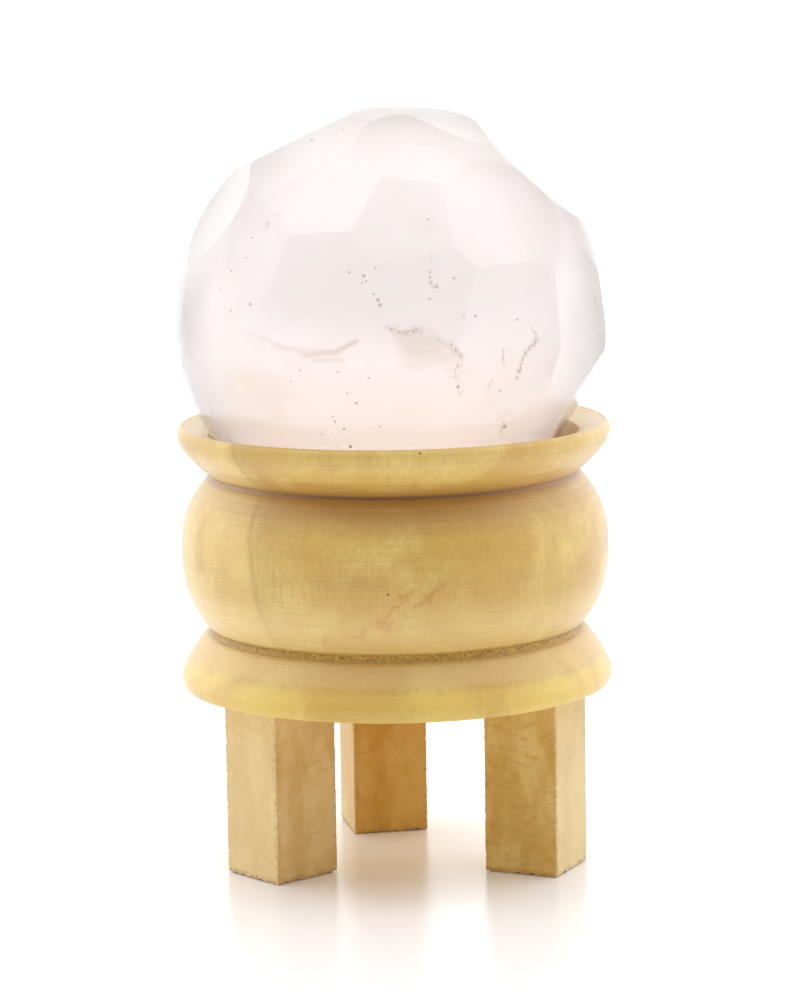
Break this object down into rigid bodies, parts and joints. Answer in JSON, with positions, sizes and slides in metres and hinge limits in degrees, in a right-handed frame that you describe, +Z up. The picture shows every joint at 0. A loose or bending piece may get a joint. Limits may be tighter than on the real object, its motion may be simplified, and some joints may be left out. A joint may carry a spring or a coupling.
{
  "type": "crystal ball on stand",
  "caption": "Faceted milky quartz ball resting in a turned wooden bowl stand on square sawn legs.",
  "frame": {"origin": "on the bowl's turning axis, at the level of the feet", "axes": "+Z up the turning axis, -Y towards the front, +X to the right"},
  "size_m": [0.07, 0.07, 0.1231],
  "materials": {
    "turned_wood": "pale yellow close-grained wood, fine lathe lines, unvarnished satin",
    "sawn_wood": "rough sawn, fuzzy edges",
    "dowel_wood": "plain round dowel",
    "quartz": "milky, faintly pink translucent quartz, hand ground facets, polished"
  },
  "bodies": {
    "stand": {"turned_bowl": "turned_wood", "leg_left": "sawn_wood", "leg_right": "sawn_wood", "leg_rear": "sawn_wood", "dowel_left": "dowel_wood", "dowel_right": "dowel_wood", "dowel_rear": "dowel_wood"},
    "crystal": {"crystal_ball": "quartz"}
  },
  "joints": [
    {"name": "crystal_lift", "type": "slide", "parent": "stand", "child": "crystal", "axis": [0, 0, 1], "range_m": [0, 0.04]}
  ]
}
